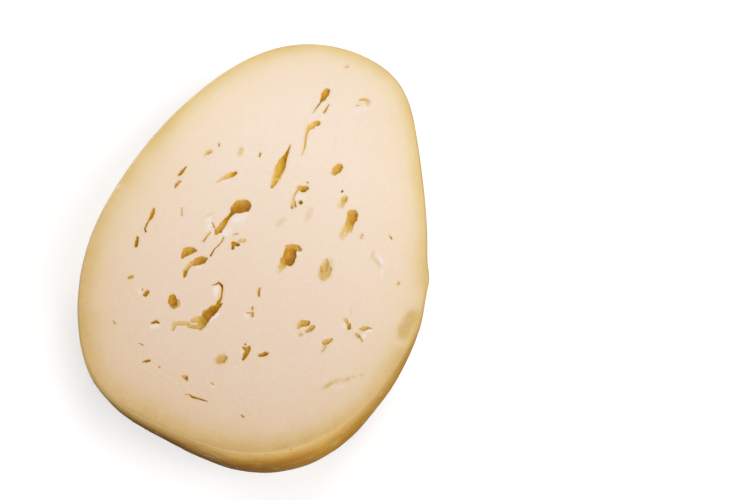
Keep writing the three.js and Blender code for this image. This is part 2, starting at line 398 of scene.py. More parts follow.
# %% Eyes near the narrow end
narrow_end_eyes = [
    [(2.5, 80.6, 3.0, 2.2), (2.3, 78.5, 3.3, 2.8), (2.1, 76.2, 2.4, 2.6), (1.7, 74.4, 1.2, 1.6)],
    [(1.5, 73.5, 0.8, 1.4), (0.8, 70.8, 0.8, 0.8), (0.1, 67.8, 0.5, 0.4)],
    [(5.5, 73.7, 0.7, 0.5), (5.1, 71.1, 1.0, 1.2), (4.7, 69.1, 0.8, 0.8)],
    [(18.1, 80.2, 1.2, 0.9), (19.9, 81.0, 1.4, 0.7), (21.9, 80.1, 1.9, 0.35), (21.9, 78.7, 1.4, 0.25)],
    [(17.4, 76.7, 0.6, 0.4), (18.6, 77.4, 0.6, 0.3)],
    [(6.5, 95.2, 0.8, 0.5), (7.5, 95.8, 0.9, 0.5)],
    [
        (3.5, 63.1, 2.9, 1.6), (2.5, 62.4, 2.5, 1.2), (1.5, 60.5, 3.0, 1.0), (0.7, 59.2, 1.9, 0.8),
        (0.6, 57.0, 1.1, 0.7), (1.0, 54.1, 1.1, 0.7), (1.9, 50.3, 1.0, 0.7), (2.1, 47.6, 0.6, 0.4),
        (2.0, 45.2, 0.5, 0.3),
    ],
    [
        (-4.3, 48.8, 0.5, 0.6), (-4.3, 46.3, 0.9, 1.4), (-4.5, 43.5, 1.8, 2.0), (-4.8, 40.5, 3.4, 2.3),
        (-5.0, 37.2, 4.3, 1.7), (-4.9, 34.1, 4.2, 1.2), (-4.9, 30.9, 3.6, 0.9), (-4.9, 28.2, 2.5, 0.9),
        (-5.3, 26.0, 1.4, 1.0),
    ],
    [(-4.6, 42.6, 1.8, 2.6), (-4.4, 37.3, 2.0, 2.1), (-4.6, 32.5, 1.2, 1.4), (-4.8, 29.1, 0.8, 1.1)],
    [(19.3, 43.9, 3.7, 2.1), (18.8, 42.2, 4.0, 2.1), (18.1, 40.5, 2.8, 1.0)],
    [(6.3, 29.0, 2.5, 1.6), (8.0, 28.7, 3.3, 2.7), (9.0, 29.6, 2.5, 1.8)],
    [(5.6, 27.4, 0.9, 0.5), (5.2, 23.7, 0.9, 0.35), (5.5, 20.5, 1.2, 0.5), (6.2, 18.5, 1.3, 1.1)],
    [(6.3, 21.8, 0.9, 0.6), (7.4, 19.5, 1.1, 0.9)],
    [(8.8, 22.3, 1.8, 2.4), (9.0, 21.9, 1.8, 2.4)],
    [(8.6, 32.6, 0.7, 0.8), (8.8, 32.4, 0.7, 0.8)],
    [(26.4, 29.5, 2.5, 1.1), (26.2, 27.9, 2.6, 0.7), (25.8, 25.3, 2.4, 0.25)],
    [(24.3, 32.6, 1.0, 1.6), (24.3, 32.2, 1.0, 1.6)],
    [
        (31.8, 22.8, 4.7, 2.6), (32.4, 20.6, 4.3, 2.2), (31.8, 17.2, 3.6, 1.1), (31.3, 14.0, 3.2, 0.42),
        (31.0, 11.6, 2.4, 0.25), (31.2, 10.4, 1.6, 0.15),
    ],
    [(33.0, 20.5, 2.2, 1.8), (33.1, 17.0, 1.7, 0.9), (33.5, 14.2, 1.2, 0.35)],
    [(-36.7, 35.6, 2.2, 1.1), (-37.2, 35.2, 2.4, 1.1)],
    [(-37.6, 34.3, 1.2, 0.8), (-38.2, 33.3, 1.0, 0.5)],
    [(-34.4, 40.8, 0.7, 0.5), (-33.9, 39.7, 1.0, 1.0)],
    [(-24.0, 40.8, 1.8, 0.35), (-23.8, 38.1, 1.6, 0.2)],
    [(-15.5, 41.1, 1.0, 1.0), (-15.2, 39.3, 0.8, 0.7)],
    [
        (-22.7, 28.4, 1.9, 1.8), (-23.9, 27.0, 2.8, 1.3), (-25.3, 25.9, 2.5, 0.8),
        (-27.0, 24.2, 1.4, 0.4), (-28.5, 22.1, 0.9, 0.2),
    ],
    [(-44.1, 25.2, 0.9, 1.2), (-44.6, 23.3, 1.5, 1.6), (-45.2, 21.2, 1.6, 1.6), (-45.6, 20.3, 0.9, 0.8)],
    [(-44.3, 17.4, 1.7, 1.2), (-44.9, 15.9, 1.6, 1.3), (-44.9, 14.3, 0.9, 1.0)],
]
print(len(narrow_end_eyes), "chains near the narrow end")

# %% Eyes across the middle
middle_eyes = [
    [(38.5, 14.2, 1.1, 0.5), (38.6, 12.5, 1.1, 0.4)],
    [(-13.9, 13.5, 6.8, 4.4), (-15.2, 12.7, 6.7, 5.2), (-16.7, 11.0, 4.4, 5.0), (-17.2, 9.4, 2.3, 3.4)],
    [
        (-17.2, 9.4, 2.3, 3.2), (-17.8, 7.4, 1.6, 2.0), (-18.7, 5.2, 2.0, 1.8), (-19.3, 2.7, 2.8, 1.8),
        (-19.6, 0.7, 2.8, 1.8), (-20.5, -1.1, 3.0, 1.6), (-20.6, -2.4, 1.8, 1.2),
    ],
    [(-19.5, -0.3, 1.7, 2.2), (-19.0, -1.5, 1.0, 1.6)],
    [(-24.0, 2.0, 0.6, 0.5), (-22.3, -0.1, 0.7, 0.7)],
    [(-23.3, -2.9, 1.1, 0.5), (-24.0, -4.9, 0.9, 0.6), (-24.6, -7.6, 1.1, 0.7)],
    [(-17.0, -3.5, 0.7, 0.6), (-17.1, -6.0, 0.6, 0.7), (-18.9, -10.0, 0.7, 0.8), (-19.4, -13.5, 0.8, 1.5)],
    [(-12.3, -5.0, 1.9, 1.8), (-10.3, -5.2, 2.1, 2.8)],
    [(-12.3, -5.0, 1.1, 1.6), (-11.6, -7.4, 1.5, 2.6)],
    [(-10.3, -3.3, 1.5, 0.7), (-8.5, -2.6, 2.2, 0.6)],
    [(-13.3, -0.9, 0.6, 0.5), (-12.0, -0.2, 0.8, 0.6)],
    [
        (-26.3, -12.9, 1.5, 1.2), (-27.9, -13.3, 3.4, 2.2), (-29.4, -14.2, 4.1, 2.6),
        (-30.1, -15.9, 3.0, 2.2), (-30.4, -17.7, 1.3, 1.0),
    ],
    [
        (-20.9, -15.6, 1.9, 1.6), (-22.3, -16.6, 4.1, 2.8), (-23.7, -17.7, 4.1, 2.4),
        (-24.8, -18.9, 2.6, 1.8),
    ],
    [(-25.9, -19.1, 2.1, 1.0), (-26.4, -20.8, 2.0, 1.0), (-26.7, -22.6, 1.8, 1.0)],
    [(-27.0, -23.4, 1.9, 1.6), (-26.7, -25.1, 1.5, 1.5), (-26.6, -26.1, 1.1, 1.3)],
    [(-38.8, 5.1, 0.7, 0.4), (-37.5, 1.7, 0.7, 0.4)],
    [(10.2, -0.3, 2.0, 1.3), (12.2, 0.4, 2.4, 1.7), (14.3, 0.6, 2.5, 1.5), (15.6, -0.2, 2.1, 1.1)],
    [(12.0, -1.7, 5.2, 4.0), (12.6, -4.1, 5.6, 4.6), (13.2, -6.3, 4.6, 4.2), (13.6, -7.6, 3.0, 3.8)],
    [(11.2, -6.0, 3.4, 2.4), (10.9, -8.4, 3.2, 0.9), (10.8, -10.8, 2.6, 0.4), (10.7, -12.4, 1.6, 0.2)],
    [
        (27.7, -1.8, 1.4, 0.5), (28.4, -4.2, 3.0, 0.7), (28.9, -6.8, 5.0, 0.7), (29.2, -8.8, 4.8, 0.6),
        (29.2, -10.6, 2.4, 0.4),
    ],
    [(28.4, -3.4, 1.3, 0.95), (29.0, -6.6, 1.3, 0.9)],
    [(26.6, -5.4, 1.2, 0.8), (27.4, -7.6, 1.2, 0.9)],
    [(30.8, -5.2, 1.2, 0.7), (30.6, -7.4, 1.4, 0.8)],
    [(-50.1, 1.5, 1.0, 1.0), (-49.8, -0.9, 1.8, 1.6), (-49.7, -3.2, 1.6, 1.5), (-50.2, -4.9, 0.8, 0.8)],
    [(-50.2, -4.9, 0.8, 1.0), (-50.4, -8.9, 0.8, 1.0), (-49.4, -10.3, 0.8, 0.8)],
    [(-51.9, -13.6, 1.1, 1.3), (-51.4, -15.8, 1.5, 1.8), (-51.0, -17.9, 1.5, 1.8)],
    [(50.0, 16.9, 0.7, 0.5), (51.1, 15.8, 0.8, 0.8)],
    [(59.7, -3.8, 1.4, 0.5), (59.7, -4.2, 1.4, 0.5)],
    [(5.1, -22.7, 1.3, 0.9), (5.4, -24.3, 1.1, 1.0), (6.0, -25.8, 1.1, 1.1)],
    [(5.1, -31.7, 1.0, 0.7), (5.4, -32.6, 1.1, 0.8)],
    [(5.9, -34.2, 1.1, 0.7), (6.4, -35.7, 1.2, 0.9)],
    [(3.8, -34.9, 0.8, 0.5), (5.0, -34.6, 0.8, 0.5)],
]
print(len(middle_eyes), "chains across the middle")

# %% Eyes near the blunt end
blunt_end_eyes = [
    [(-28.2, -36.6, 2.9, 2.4), (-27.3, -38.4, 3.9, 2.9), (-26.1, -40.2, 3.3, 1.2)],
    [(-25.6, -37.9, 2.2, 0.7), (-25.2, -39.7, 2.6, 0.5)],
    [
        (-14.0, -26.6, 0.6, 0.5), (-12.4, -25.5, 1.0, 1.4), (-12.0, -24.7, 1.0, 2.0),
        (-10.3, -25.6, 1.1, 2.0),
    ],
    [(-10.3, -25.6, 1.1, 1.1), (-9.5, -27.2, 0.9, 0.9), (-8.7, -31.2, 1.1, 1.0), (-9.0, -34.9, 1.8, 2.0)],
    [(-7.5, -33.5, 0.5, 1.6), (-8.0, -35.1, 1.3, 2.6)],
    [
        (-8.6, -35.5, 2.3, 2.8), (-9.9, -37.4, 4.3, 4.4), (-11.4, -40.0, 4.7, 4.2),
        (-12.0, -42.6, 4.3, 2.4), (-12.2, -45.1, 3.8, 1.3), (-12.2, -47.2, 1.9, 0.8),
    ],
    [(-14.0, -43.2, 2.4, 1.0), (-15.2, -43.8, 2.6, 0.8), (-16.4, -44.8, 1.8, 0.5)],
    [
        (-13.0, -47.0, 1.6, 0.8), (-14.9, -47.2, 1.9, 0.8), (-16.7, -47.5, 1.6, 0.6),
        (-18.1, -46.7, 1.6, 0.5), (-20.8, -47.2, 1.9, 0.5), (-23.0, -48.0, 1.8, 0.5),
        (-22.8, -50.8, 1.3, 0.4),
    ],
    [(-31.9, -50.3, 1.2, 1.5), (-30.7, -49.4, 1.7, 1.5), (-29.4, -49.6, 0.9, 1.2)],
    [(26.4, -33.8, 2.6, 0.9), (27.6, -33.0, 3.4, 1.7), (29.0, -32.5, 2.7, 1.6)],
    [(25.9, -35.6, 1.2, 0.5), (26.3, -35.4, 1.2, 0.5)],
    [(31.9, -33.5, 2.0, 1.0), (31.2, -34.7, 2.2, 1.2), (29.9, -36.1, 1.6, 0.7)],
    [(27.8, -38.4, 1.8, 0.3), (28.2, -38.2, 1.8, 0.3)],
    [(40.6, -37.0, 1.6, 0.8), (39.5, -38.3, 2.5, 1.3), (38.5, -39.1, 2.2, 1.0)],
    [(39.3, -40.5, 1.3, 0.35), (38.8, -43.0, 1.1, 0.3)],
    [(43.6, -26.5, 1.7, 0.4), (44.6, -27.6, 1.3, 0.8)],
    [(45.6, -28.3, 1.8, 1.2), (46.2, -29.8, 1.6, 1.3)],
    [(50.8, -28.8, 1.2, 0.8), (52.1, -28.4, 2.2, 1.1), (53.4, -27.6, 1.5, 1.0), (54.8, -27.4, 0.8, 0.5)],
    [(49.7, -31.7, 1.2, 0.7), (50.9, -32.3, 1.7, 0.9), (52.3, -33.2, 1.0, 0.6), (53.2, -34.2, 0.6, 0.4)],
    [(7.6, -50.6, 1.3, 1.2), (8.7, -50.9, 1.8, 1.7), (9.5, -49.9, 1.8, 1.4)],
    [(9.6, -51.1, 2.5, 1.8), (9.5, -52.8, 2.1, 1.9), (9.4, -54.2, 1.7, 1.7), (9.1, -55.7, 1.0, 1.2)],
    [(7.8, -48.7, 0.6, 1.0), (7.8, -49.1, 0.6, 1.0)],
    [(14.9, -52.0, 1.3, 1.2), (16.2, -51.4, 1.8, 1.8), (16.8, -50.8, 2.3, 1.9), (17.5, -50.5, 1.6, 1.3)],
    [(-0.2, -59.4, 1.8, 0.4), (0.5, -58.2, 3.6, 0.9), (1.5, -57.3, 2.7, 1.2)],
    [(-38.9, -37.4, 2.0, 1.6), (-39.2, -38.8, 1.9, 1.8)],
    [(-41.2, -36.6, 0.7, 0.5), (-41.2, -37.0, 0.7, 0.5)],
    [(-48.4, -32.9, 1.7, 1.1), (-47.7, -32.4, 1.8, 0.9)],
    [(-47.9, -53.9, 0.4, 0.4), (-46.4, -55.1, 0.6, 0.6)],
    [(-34.0, -60.6, 0.4, 0.4), (-32.1, -61.0, 0.5, 0.5)],
    [(-29.6, -68.2, 0.7, 0.8), (-28.4, -67.5, 1.2, 1.4), (-27.2, -66.8, 1.1, 1.2)],
    [(-22.3, -68.3, 0.7, 0.5), (-22.3, -68.7, 0.7, 0.5)],
    [(-11.8, -69.6, 1.1, 0.6), (-10.5, -69.8, 1.9, 1.3), (-9.6, -70.8, 1.0, 0.8)],
    [(-6.4, -76.8, 0.7, 0.6), (-5.2, -77.3, 1.1, 1.3), (-0.3, -77.4, 0.7, 1.0), (1.2, -77.4, 0.4, 0.4)],
    [(-8.2, -77.3, 0.4, 0.3), (-6.8, -76.5, 0.4, 0.3)],
    [(-0.1, -69.3, 0.5, 0.4), (1.3, -69.8, 0.6, 0.5)],
    [(16.2, -79.3, 0.5, 0.5), (17.4, -79.9, 0.7, 0.8)],
]
print(len(blunt_end_eyes), "chains near the blunt end")

# %% [markdown]
# ## From stations to links
# Two neighbouring stations make one link: a rod that tapers from one to the other and ends in half balls.
# Its skin is roughened, because the walls of a torn eye are never smooth. A rod sunk to its middle is half
# as deep as it is wide or deeper. A shallow scrape needs another section, so there the rod is made wider
# and lifted, until it opens as wide as the station says.

# %% Shape one link
Station = namedtuple("Station", "x y width depth")

LINK_SIDES = 18
CAP_STEPS = 4
SPAN_STEP = 1.2
SUNK_TO_MIDDLE = 0.75  # depth over width from which a rod isn't lifted
MOST_LIFT = 0.6
ROUGH_SIZE = 1.8
ROUGH_SHARE = 0.24
SQUARENESS = 0.8


def section(station):
    """Half width, half height and lift of the rod at a station."""
    lift = min(MOST_LIFT, max(0.0, SUNK_TO_MIDDLE - station.depth / station.width))
    half_width = station.width / 2 / math.sqrt(1 - lift**2)
    half_height = station.depth / (1 - lift)
    return np.array([half_width, half_height, lift * half_height])


def link_rows(start, end):
    """Place along the link, half width, half height and lift of each ring, from tip to tip."""
    length = math.dist(start[:2], end[:2])
    first = section(start)
    last = section(end)
    cap_turns = np.linspace(-math.pi / 2, 0, CAP_STEPS, endpoint=False)
    rows = [(first[0] * math.sin(turn), *first[:2] * math.cos(turn), first[2]) for turn in cap_turns]
    for share in np.linspace(0, 1, 2 + int(length / SPAN_STEP)):
        rows.append((length * share, *first + (last - first) * share))
    for turn in cap_turns[::-1]:
        rows.append((length - last[0] * math.sin(turn), *last[:2] * math.cos(turn), last[2]))
    return np.array(rows)


def squared_off(wave):
    """A sine or cosine that stays longer near its ends, for a flatter floor and steeper sides."""
    return np.sign(wave) * np.abs(wave) ** SQUARENESS


def link_points(start, end):
    rows = link_rows(start, end)
    sides = np.arange(LINK_SIDES) * math.tau / LINK_SIDES
    along = np.repeat(rows[:, [0]], LINK_SIDES, axis=1)
    across = np.outer(rows[:, 1], squared_off(np.cos(sides)))
    up = np.outer(rows[:, 2], squared_off(np.sin(sides))) + rows[:, [3]]
    rod = np.stack([along, across, up], axis=2)
    points = np.concatenate([rod[0, :1], rod[1:-1].reshape(-1, 3), rod[-1, :1]])
    rough = noise_at(points + [start.x, start.y, 0.0], ROUGH_SIZE, seed=5.0)
    points[:, 1:] *= 1 + ROUGH_SHARE * rough[:, None]
    turn = math.atan2(end.y - start.y, end.x - start.x)
    x = start.x + points[:, 0] * math.cos(turn) - points[:, 1] * math.sin(turn)
    y = start.y + points[:, 0] * math.sin(turn) + points[:, 1] * math.cos(turn)
    return np.column_stack([x, y, FACE_HEIGHT + points[:, 2]])


def link_polygons(point_count, first_point):
    """Polygons of a link whose points begin at first_point: a tip, rings of LINK_SIDES points, a tip."""
    last_point = first_point + point_count - 1
    polygons = []
    for side in range(LINK_SIDES):
        ahead = (side + 1) % LINK_SIDES
        polygons.append((first_point, first_point + 1 + ahead, first_point + 1 + side))
        for here in range(first_point + 1, last_point - LINK_SIDES, LINK_SIDES):
            there = here + LINK_SIDES
            polygons.append((here + side, here + ahead, there + ahead, there + side))
        tail = last_point - LINK_SIDES
        polygons.append((last_point, tail + side, tail + ahead))
    return polygons


all_eyes = narrow_end_eyes + middle_eyes + blunt_end_eyes
links = [(Station(*start), Station(*end)) for chain in all_eyes for start, end in zip(chain, chain[1:])]
print(len(links), "links in", len(all_eyes), "chains")

# %% [markdown]
# ## Layers of cutters
# Shells that cross each other confuse a Boolean, and neighbouring links always do. So the links are dealt
# out into layers in which none comes near another, and each layer becomes one cutter.

# %% Deal the links out into cutters
SIDE_REACH = 0.8
CLEARANCE = 0.3


def ground(link):
    """Middle and radius of a circle that holds a link, seen from above."""
    start, end = link
    middle = np.array([start.x + end.x, start.y + end.y]) / 2
    return middle, math.dist(start[:2], end[:2]) / 2 + SIDE_REACH * max(start.width, end.width) + CLEARANCE


def clear_of(one, other):
    one_middle, one_radius = ground(one)
    other_middle, other_radius = ground(other)
    return math.dist(one_middle, other_middle) > one_radius + other_radius


def deal_out(links):
    layers = []
    for link in links:
        free = [layer for layer in layers if all(clear_of(link, other) for other in layer)]
        if not free:
            free = [[]]
            layers.append(free[0])
        free[0].append(link)
    return layers


def cutter_from(layer, number):
    points = []
    polygons = []
    for link in layer:
        skin = link_points(*link)
        polygons += link_polygons(len(skin), len(points))
        points += skin.tolist()
    return new_object(f"eye_cutter_{number}", points, polygons, [EYE_WALL] * len(polygons))


cutters = [cutter_from(layer, number) for number, layer in enumerate(deal_out(links))]
print(len(cutters), "cutters")

# %% [markdown]
# ## Cutting
# The Manifold solver keeps each polygon's material slot, so the walls that a cutter leaves are already
# marked as eye wall. The result is copied into the half's own mesh, and the cutters are deleted: nothing
# stays live in the file.

# %% Cut the eyes
SHARP_ANGLE = math.radians(38)


def cut_away(target, cutter):
    cut = target.modifiers.new("cut", "BOOLEAN")
    cut.operation = "DIFFERENCE"
    cut.solver = "MANIFOLD"
    cut.object = cutter
    bpy.context.view_layer.update()
    result = bpy.data.meshes.new_from_object(target.evaluated_get(bpy.context.evaluated_depsgraph_get()))
    target.modifiers.clear()
    target.data = result
    bpy.data.objects.remove(cutter)


for name in ("paste", "rind", "eye wall"):
    material = bpy.data.materials.new(name)
    for piece in (half, *cutters):
        piece.data.materials.append(material)
for cutter in cutters:
    cut_away(half, cutter)
half.data.name = "cheese_half_finish"
half.data.shade_smooth()
half.data.set_sharp_from_angle(angle=SHARP_ANGLE)
triangle_count = sum(len(polygon.vertices) - 2 for polygon in half.data.polygons)
print("after cutting:", len(half.data.vertices), "points,", triangle_count, "triangles")

# %% [markdown]
# ## Measures for the finishes
# Paste is yellower close to the rind, and an eye's wall is darker the deeper it goes. Both can be measured
# on the mesh and stored on its points, where a material can read them. That is steadier than guessing the
# same thing from texture coordinates, and it goes along with the mesh wherever that goes. The distance from
# the lips of the eyes, how narrow the nearest eye is, and the marks are stored as well. Where the rim was
# rubbed, the yellow zone is missing, so the points there count as farther from the rim.

# %% Store the measures
from mathutils.kdtree import KDTree

FINE_STEPS = 4 * RIM_STEPS
BLOCK_SIZE = 2000  # points that are measured at a time, to spare memory
RUB_REACH = 3.0
ZONE_LEAN = (0.20, 0.06)  # the yellow zone is narrower towards +X and +Y, and wider towards -X and -Y
SCRAPE_AND_SHADE_CRISPNESS = 2.2
NARROW_TO_WIDE = (2.5, 5.0)  # widths of a narrow and of a wide eye in mm
FLAT_TO_STEEP = (0.6, 0.9)  # depth over width of a flat and of a steep eye

skin_points = np.empty(len(half.data.vertices) * 3)
half.data.vertices.foreach_get("co", skin_points)
skin_points = skin_points.reshape(-1, 3) / MM + [*box_middle, 0.0]
flat_skin = skin_points[:, :2]


def distance_from_rim(flat):
    fine_rim = rim_points(np.arange(FINE_STEPS) * math.tau / FINE_STEPS) + EGG_MIDDLE
    blocks = np.array_split(flat, len(flat) // BLOCK_SIZE + 1)
    squares = [((block[:, None] - fine_rim) ** 2).sum(2).min(1) for block in blocks]
    return np.sqrt(np.concatenate(squares))


def store(name, values):
    attribute = half.data.attributes.new(name, "FLOAT", "POINT")
    attribute.data.foreach_set("value", np.asarray(values, np.float32))


def distance_from_lips(points):
    """How far each point is from the lips of the eyes, where paste and eye wall meet."""
    corners = {PASTE: set(), RIND: set(), EYE_WALL: set()}
    for polygon in half.data.polygons:
        corners[polygon.material_index].update(polygon.vertices)
    lips = KDTree(len(points))
    for corner in corners[PASTE] & corners[EYE_WALL]:
        lips.insert(points[corner], corner)
    lips.balance()
    return [lips.find(point)[2] for point in points]


def narrowness(flat):
    """1 where the nearest eye is a deep, narrow tear, 0 where it is wide or shallow."""
    stations = np.array([station for link in links for station in link])
    places = KDTree(len(stations))
    for number, (x, y, *_) in enumerate(stations):
        places.insert((x, y, 0.0), number)
    places.balance()
    nearest = [places.find((x, y, 0.0))[1] for x, y in flat]
    width, depth = stations[nearest, 2:].T
    narrow = np.interp(width, NARROW_TO_WIDE, (1.0, 0.0))
    return narrow * np.interp(depth / width, FLAT_TO_STEEP, (0.0, 1.0))


lean = 1 + flat_skin / [WIDTH / 2, LENGTH / 2] @ ZONE_LEAN
store("rim_mm", distance_from_rim(flat_skin) * lean + RUB_REACH * marked(rubbed_rim, flat_skin))
store("deep_mm", np.maximum(FACE_HEIGHT - skin_points[:, 2], 0.0))
store("lip_mm", distance_from_lips(skin_points))
store("torn", marked(torn_curd, flat_skin))
store("scraped_and_shaded", marked(tan_scrapes_and_shade, flat_skin, crispness=SCRAPE_AND_SHADE_CRISPNESS))
store("scuffed", marked(scuffed_rind, flat_skin))
store("narrow", narrowness(flat_skin))
print("stored seven measures on", len(skin_points), "points")

# %% [markdown]
# ## Small helpers for the materials
# Each finish is a node tree with one Principled shader. Written out node by node such trees get long, so a
# few helpers do the wiring. A socket takes either another node's output or a plain value.

# %% Node helpers
def srgb(red, green, blue):
    """A colour as seen on screen, 0 to 255, turned into the linear values that shaders use."""
    return (*[((level / 255 + 0.055) / 1.055) ** 2.4 for level in (red, green, blue)], 1.0)


def open_finish(name):
    """The emptied node tree of a material, with a new Principled shader."""
    finish = bpy.data.materials[name]
    finish.use_nodes = True
    tree = finish.node_tree
    tree.nodes.clear()
    output = tree.nodes.new("ShaderNodeOutputMaterial")
    shader = tree.nodes.new("ShaderNodeBsdfPrincipled")
    tree.links.new(shader.outputs["BSDF"], output.inputs["Surface"])
    return tree, shader


def wire(tree, socket, value):
    if isinstance(value, bpy.types.NodeSocket):
        tree.links.new(value, socket)
    else:
        socket.default_value = value


def add(tree, kind, inputs, out=0, **settings):
    """Add a node, set it up, wire its inputs and hand back one of its outputs."""
    node = tree.nodes.new(kind)
    for name, value in settings.items():
        setattr(node, name, value)
    for socket, value in inputs.items():
        wire(tree, node.inputs[socket], value)
    return node.outputs[out]


def ramp(tree, value, stops):
    node = tree.nodes.new("ShaderNodeValToRGB")
    wire(tree, node.inputs["Fac"], value)
    elements = node.color_ramp.elements
    while len(elements) < len(stops):
        elements.new(0.5)
    for element, (position, colour) in zip(elements, stops):
        element.position = position
        element.color = colour
    return node.outputs["Color"]


print("node helpers ready")

# %% [markdown]
# ## Helpers that speak of cheese
# The next helpers say what a finish needs in fewer words: noise by its size in mm, a stored measure, a
# value moved from one span to another, two colours mixed.

# %% Noise, measures and mixes
def times(tree, one, two):
    return add(tree, "ShaderNodeMath", {0: one, 1: two}, operation="MULTIPLY")


def plus(tree, one, two):
    return add(tree, "ShaderNodeMath", {0: one, 1: two}, operation="ADD")


def mix(tree, share, under, over, blend="MIX"):
    sockets = {0: share, 6: under, 7: over}
    return add(tree, "ShaderNodeMix", sockets, out=2, data_type="RGBA", blend_type=blend)


def span(tree, value, low, high, to_low=0.0, to_high=1.0):
    ends = {"From Min": low, "From Max": high, "To Min": to_low, "To Max": to_high}
    return add(tree, "ShaderNodeMapRange", {"Value": value, **ends})


def place_mm(tree, turn=0.0):
    """Where a point is, in mm, on axes turned about Z by so many degrees."""
    spot = tree.nodes.new("ShaderNodeTexCoord").outputs["Object"]
    spot = add(tree, "ShaderNodeVectorMath", {0: spot, 1: (1 / MM, 1 / MM, 1 / MM)}, operation="MULTIPLY")
    angle = math.radians(-turn)
    return add(tree, "ShaderNodeVectorRotate", {"Vector": spot, "Angle": angle}, rotation_type="Z_AXIS")


def cloud(tree, size, detail=2.0, stretch=(1.0, 1.0, 1.0), turn=0.0):
    """Noise from 0 to 1 with spots about size mm wide, drawn out by stretch along the turned axes."""
    scale = [1 / (size * side) for side in stretch]
    spot = add(tree, "ShaderNodeVectorMath", {0: place_mm(tree, turn), 1: scale}, operation="MULTIPLY")
    return add(tree, "ShaderNodeTexNoise", {"Vector": spot, "Scale": 1.0, "Detail": detail})


def measure(tree, name):
    return add(tree, "ShaderNodeAttribute", {}, out="Fac", attribute_name=name)


def bump(tree, height, distance_mm, strength=1.0):
    sockets = {"Height": height, "Distance": distance_mm * MM, "Strength": strength}
    return add(tree, "ShaderNodeBump", sockets)


def scatter(shader, weight, radius, scale_mm):
    """Let light in under the surface, farther for red than for blue."""
    shader.inputs["Subsurface Weight"].default_value = weight
    shader.inputs["Subsurface Radius"].default_value = radius
    shader.inputs["Subsurface Scale"].default_value = scale_mm * MM


print("finish helpers ready")

# %% [markdown]
# ## Paste
# Fresh-cut paste is ivory, a little rosy, and turns straw yellow over the last centimetre before the rind,
# where it has dried. The lips of the eyes are yellowish too. All of it carries painted shade: it is a little
# darker and rosier towards the blunt end, where the light falls off. Paste scatters light under its surface,
# so the shader has some subsurface. Its colour is never quite even: grains of curd, faint fibres along the
# egg, and small white flecks that the blade left across it.

# %% Finish of the paste
YELLOW_ZONE_MM = 31.0
SCATTER_MM = 2.5
LIP_MM = 1.2
BLADE_TURN = 16.0
# painted shade of the cut side, darker and rosier towards the blunt end, where the light falls off:
PAINTED_SHADE_TURN = -8.0
PAINTED_SHADE_STARTS = 45.0  # mm along the egg, nearly
PAINTED_SHADE_ENDS = -95.0
PAINTED_SHADE_TINT = (0.76, 0.68, 0.61, 1.0)
CURD_GRAIN = srgb(209, 185, 157)
FIBRE = srgb(213, 190, 163)
BLADE_STREAK = srgb(231, 218, 207)
WHITE_FLECK = srgb(234, 223, 217)
EYE_LIP = srgb(204, 170, 104)
TORN_SHRED = srgb(219, 207, 202)
TAN_SCRAPE_AND_SHADE = srgb(188, 152, 84)
PASTE_STOPS = (
    (0.00, srgb(199, 170, 102)),
    (0.06, srgb(207, 180, 117)),
    (0.14, srgb(214, 190, 141)),
    (0.24, srgb(219, 199, 166)),
    (0.40, srgb(222, 203, 178)),
    (1.00, srgb(223, 206, 188)),
)


def painted_shade_towards_blunt_end(tree, colour):
    """Painted shade on a colour of the cut side: a little darker and rosier towards the blunt end."""
    along = add(tree, "ShaderNodeSeparateXYZ", {"Vector": place_mm(tree, PAINTED_SHADE_TURN)}, out="Y")
    return mix(tree, span(tree, along, PAINTED_SHADE_STARTS, PAINTED_SHADE_ENDS), colour, PAINTED_SHADE_TINT, "MULTIPLY")


def paste_zones(tree):
    """Straw yellow at the rim to ivory inside, with painted shade towards the blunt end."""
    uneven = span(tree, cloud(tree, 16.0, 2.0), 0.3, 0.7, -1.2, 1.2)
    share = times(tree, plus(tree, measure(tree, "rim_mm"), uneven), 1 / YELLOW_ZONE_MM)
    return painted_shade_towards_blunt_end(tree, ramp(tree, share, PASTE_STOPS))


def paste_grain(tree, colour):
    """Grains of curd, fibres along the egg and white flecks across it."""
    grains = span(tree, cloud(tree, 2.4, 4.0), 0.3, 0.7)
    colour = mix(tree, times(tree, grains, 0.16), colour, CURD_GRAIN)
    fibres = span(tree, cloud(tree, 1.5, 3.0, (1.0, 6.0, 1.0)), 0.35, 0.7)
    colour = mix(tree, times(tree, fibres, 0.08), colour, FIBRE)
    inside = span(tree, measure(tree, "rim_mm"), 6.0, 16.0)
    streaks = span(tree, cloud(tree, 1.0, 4.0, (1.8, 1.0, 1.0), BLADE_TURN), 0.45, 0.68, 0.0, 0.10)
    colour = mix(tree, times(tree, streaks, inside), colour, BLADE_STREAK)
    flecks = span(tree, cloud(tree, 1.2, 3.0, (1.8, 1.0, 1.0), BLADE_TURN), 0.66, 0.76)
    patches = span(tree, cloud(tree, 22.0, 2.0), 0.42, 0.64, 0.05, 0.40)
    return mix(tree, times(tree, flecks, times(tree, patches, inside)), colour, WHITE_FLECK)


